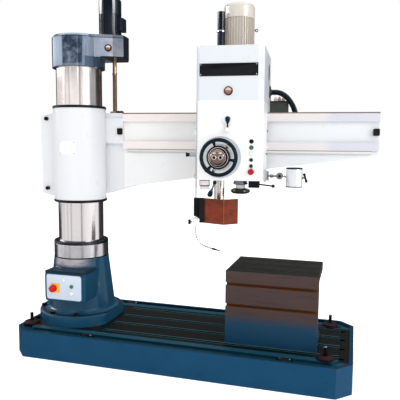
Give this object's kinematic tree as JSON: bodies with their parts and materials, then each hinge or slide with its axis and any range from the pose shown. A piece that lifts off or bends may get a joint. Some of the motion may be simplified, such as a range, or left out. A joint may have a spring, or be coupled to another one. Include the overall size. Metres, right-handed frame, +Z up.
{
  "type": "radial arm drill",
  "caption": "Radial arm drilling machine: T-slotted base with box table, swinging column, elevating arm and a traversing head with quill, spindle, handwheel and controls.",
  "frame": {"origin": "on the floor at the column's axis, on the underside of the base", "axes": "+X along the base from the column to the table end, +Y away from the operator, +Z up; the arm rests swung 5 degrees from +X towards +Y"},
  "size_m": [2.5858, 1.0269, 2.685],
  "materials": {
    "blue_paint": "gloss enamel",
    "blue_grey_paint": "gloss enamel",
    "dark_blue_paint": "semi-gloss enamel",
    "white_paint": "gloss enamel",
    "brown_paint": "satin paint",
    "red_brown_paint": "satin primer",
    "cream_paint": "satin enamel",
    "olive_paint": "satin enamel",
    "black_paint": "semi-gloss",
    "ground_steel": "fine ground",
    "tool_steel": "machined",
    "bright_chrome": "polished",
    "bronze": "oiled",
    "black_rubber": "matte",
    "black_plastic": "moulded",
    "white_plastic": "moulded",
    "green_plastic": "moulded",
    "red_plastic": "moulded",
    "grey_plastic": "moulded",
    "amber_shield": "tinted",
    "oil_glass": "tinted"
  },
  "bodies": {
    "base": {"base_casting": "blue_paint", "column_pedestal": "blue_paint", "inner_column": "tool_steel", "column_bearings": "tool_steel", "clamp_ring": "ground_steel", "dust_ring": "dark_blue_paint", "levelling_pads": "red_brown_paint", "base_bolts": "tool_steel", "switch_panel": "white_paint", "box_table": "brown_paint"},
    "column": {"outer_column": "ground_steel", "top_housing": "blue_grey_paint", "lift_motor": "dark_blue_paint"},
    "arm": {"arm_casting": "white_paint", "sleeve_seals": "black_rubber", "sleeve_bolts": "tool_steel", "lift_nut": "bronze", "traverse_rack": "tool_steel", "arm_stops": "black_rubber"},
    "head": {"head_casting": "white_paint", "upper_cover": "white_paint", "sight_glass": "oil_glass", "head_motor": "cream_paint", "motor_cover": "white_paint", "spindle_tube": "dark_blue_paint", "feed_dial": "ground_steel", "rear_box": "olive_paint", "conduit": "black_plastic", "direction_box": "black_plastic", "guard_post": "tool_steel", "coolant_valve": "white_plastic", "coolant_hose": "white_plastic", "lamp_bracket": "white_paint"},
    "guard": {"guard_bracket": "black_paint", "guard_shield": "amber_shield"},
    "main_switch": {"main_switch": "red_plastic"},
    "start_button": {"start_button": "green_plastic"},
    "stop_button": {"stop_button": "white_plastic"},
    "lift_pinion": {"lift_pinion": "tool_steel"},
    "lift_screw": {"lift_screw": "tool_steel"},
    "quill": {"quill": "ground_steel"},
    "spindle": {"spindle": "ground_steel"},
    "handwheel": {"handwheel": "black_paint"},
    "traverse_pinion": {"traverse_pinion": "tool_steel"},
    "feed_hub": {"feed_hub": "tool_steel"},
    "fine_feed_wheel": {"fine_feed_wheel": "black_plastic"},
    "speed_lever": {"speed_lever": "bright_chrome"},
    "engage_lever": {"engage_lever": "black_plastic"},
    "direction_lever": {"direction_lever": "black_plastic"},
    "preset_knob": {"preset_knob": "bright_chrome"},
    "head_clamp_knob": {"head_clamp_knob": "black_plastic"},
    "push_button_1": {"push_button_1": "black_plastic"},
    "push_button_2": {"push_button_2": "green_plastic"},
    "push_button_3": {"push_button_3": "white_plastic"},
    "push_button_4": {"push_button_4": "black_plastic"},
    "push_button_5": {"push_button_5": "black_plastic"},
    "emergency_stop": {"emergency_stop": "red_plastic"},
    "coolant_tap": {"coolant_tap": "black_plastic"},
    "lamp_arm": {"lamp_arm": "black_paint"},
    "work_lamp": {"work_lamp": "grey_plastic"}
  },
  "joints": [
    {"name": "column_swing", "type": "hinge", "parent": "base", "child": "column", "pos_m": [0, 0, 0.9], "axis": [0, 0, 1], "range_deg": [-180, 180]},
    {"name": "arm_lift", "type": "slide", "parent": "column", "child": "arm", "axis": [0, 0, 1], "range_m": [-0.26, 0.28]},
    {"name": "lift_screw_turn", "type": "hinge", "parent": "column", "child": "lift_screw", "pos_m": [0.22689, 0.16038, 2.3], "axis": [0, 0, 1], "continuous": true},
    {"name": "lift_pinion_turn", "type": "hinge", "parent": "column", "child": "lift_pinion", "pos_m": [0.23087, 0.08043, 2.32], "axis": [0, 0, 1], "continuous": true},
    {"name": "head_traverse", "type": "slide", "parent": "arm", "child": "head", "axis": [0.9962, 0.0872, 0], "range_m": [-0.593, 0.657]},
    {"name": "quill_feed", "type": "slide", "parent": "head", "child": "quill", "axis": [0, 0, -1], "range_m": [0, 0.315]},
    {"name": "spindle_turn", "type": "hinge", "parent": "quill", "child": "spindle", "pos_m": [1.11549, 0.07752, 1.4], "axis": [0, 0, 1], "continuous": true},
    {"name": "handwheel_turn", "type": "hinge", "parent": "head", "child": "handwheel", "pos_m": [1.20371, -0.31127, 1.496], "axis": [-0.0872, 0.9962, 0], "continuous": true},
    {"name": "traverse_pinion_turn", "type": "hinge", "parent": "head", "child": "traverse_pinion", "pos_m": [1.26417, 0.1106, 1.496], "axis": [-0.0872, 0.9962, 0], "continuous": true},
    {"name": "feed_hub_turn", "type": "hinge", "parent": "head", "child": "feed_hub", "pos_m": [1.20371, -0.31127, 1.496], "axis": [-0.0872, 0.9962, 0], "continuous": true},
    {"name": "fine_feed_turn", "type": "hinge", "parent": "head", "child": "fine_feed_wheel", "pos_m": [1.31709, -0.11565, 1.26], "axis": [0, 0, 1], "continuous": true},
    {"name": "speed_lever_swing", "type": "hinge", "parent": "head", "child": "speed_lever", "pos_m": [1.24424, -0.21236, 1.683], "axis": [-0.0872, 0.9962, 0], "range_deg": [-30, 30]},
    {"name": "engage_lever_swing", "type": "hinge", "parent": "head", "child": "engage_lever", "pos_m": [1.14238, -0.16105, 1.315], "axis": [-0.0872, 0.9962, 0], "range_deg": [-40, 8]},
    {"name": "direction_lever_swing", "type": "hinge", "parent": "head", "child": "direction_lever", "pos_m": [1.44311, -0.14478, 1.313], "axis": [-0.0872, 0.9962, 0], "range_deg": [-15, 15]},
    {"name": "preset_knob_turn", "type": "hinge", "parent": "head", "child": "preset_knob", "pos_m": [1.07066, -0.16732, 1.3], "axis": [0, 0, 1], "continuous": true},
    {"name": "head_clamp_turn", "type": "hinge", "parent": "head", "child": "head_clamp_knob", "pos_m": [0.96382, -0.11644, 1.509], "axis": [0.9962, 0.0872, 0], "range_deg": [-30, 30]},
    {"name": "main_switch_turn", "type": "hinge", "parent": "base", "child": "main_switch", "pos_m": [-0.053, -0.334, 0.5], "axis": [0, 1, 0], "range_deg": [0, 90]},
    {"name": "guard_swing", "type": "hinge", "parent": "head", "child": "guard", "pos_m": [0.99644, -0.13366, 1.13], "axis": [0, 0, 1], "range_deg": [-110, 0]},
    {"name": "coolant_tap_turn", "type": "hinge", "parent": "head", "child": "coolant_tap", "pos_m": [0.95659, -0.13715, 1.025], "axis": [0.9962, 0.0872, 0], "range_deg": [0, 90]},
    {"name": "lamp_arm_swing", "type": "hinge", "parent": "head", "child": "lamp_arm", "pos_m": [1.49379, -0.02992, 1.366], "axis": [0, 0, 1], "range_deg": [-25, 60]},
    {"name": "work_lamp_tilt", "type": "hinge", "parent": "lamp_arm", "child": "work_lamp", "pos_m": [1.61732, -0.01911, 1.366], "axis": [0.9962, 0.0872, 0], "range_deg": [-60, 60]},
    {"name": "push_button_1_press", "type": "slide", "parent": "head", "child": "push_button_1", "axis": [-0.0872, 0.9962, 0], "range_m": [0, 0.005], "stiffness_N_per_m": 800},
    {"name": "push_button_2_press", "type": "slide", "parent": "head", "child": "push_button_2", "axis": [-0.0872, 0.9962, 0], "range_m": [0, 0.005], "stiffness_N_per_m": 800},
    {"name": "push_button_3_press", "type": "slide", "parent": "head", "child": "push_button_3", "axis": [-0.0872, 0.9962, 0], "range_m": [0, 0.005], "stiffness_N_per_m": 800},
    {"name": "push_button_4_press", "type": "slide", "parent": "head", "child": "push_button_4", "axis": [-0.0872, 0.9962, 0], "range_m": [0, 0.005], "stiffness_N_per_m": 800},
    {"name": "push_button_5_press", "type": "slide", "parent": "head", "child": "push_button_5", "axis": [-0.0872, 0.9962, 0], "range_m": [0, 0.005], "stiffness_N_per_m": 800},
    {"name": "emergency_stop_press", "type": "slide", "parent": "head", "child": "emergency_stop", "axis": [-0.0872, 0.9962, 0], "range_m": [0, 0.006]},
    {"name": "start_button_press", "type": "slide", "parent": "base", "child": "start_button", "axis": [0, 1, 0], "range_m": [0, 0.005], "stiffness_N_per_m": 800},
    {"name": "stop_button_press", "type": "slide", "parent": "base", "child": "stop_button", "axis": [0, 1, 0], "range_m": [0, 0.005], "stiffness_N_per_m": 800}
  ],
  "couplings": [
    {"joint": "lift_screw_turn", "follows": "arm_lift", "rad_per_m": 785.4},
    {"joint": "lift_pinion_turn", "follows": "arm_lift", "rad_per_m": -1307.2},
    {"joint": "traverse_pinion_turn", "follows": "head_traverse", "rad_per_m": -41.667},
    {"joint": "handwheel_turn", "follows": "head_traverse", "rad_per_m": 25.278},
    {"joint": "feed_hub_turn", "follows": "quill_feed", "rad_per_m": -58.824}
  ]
}
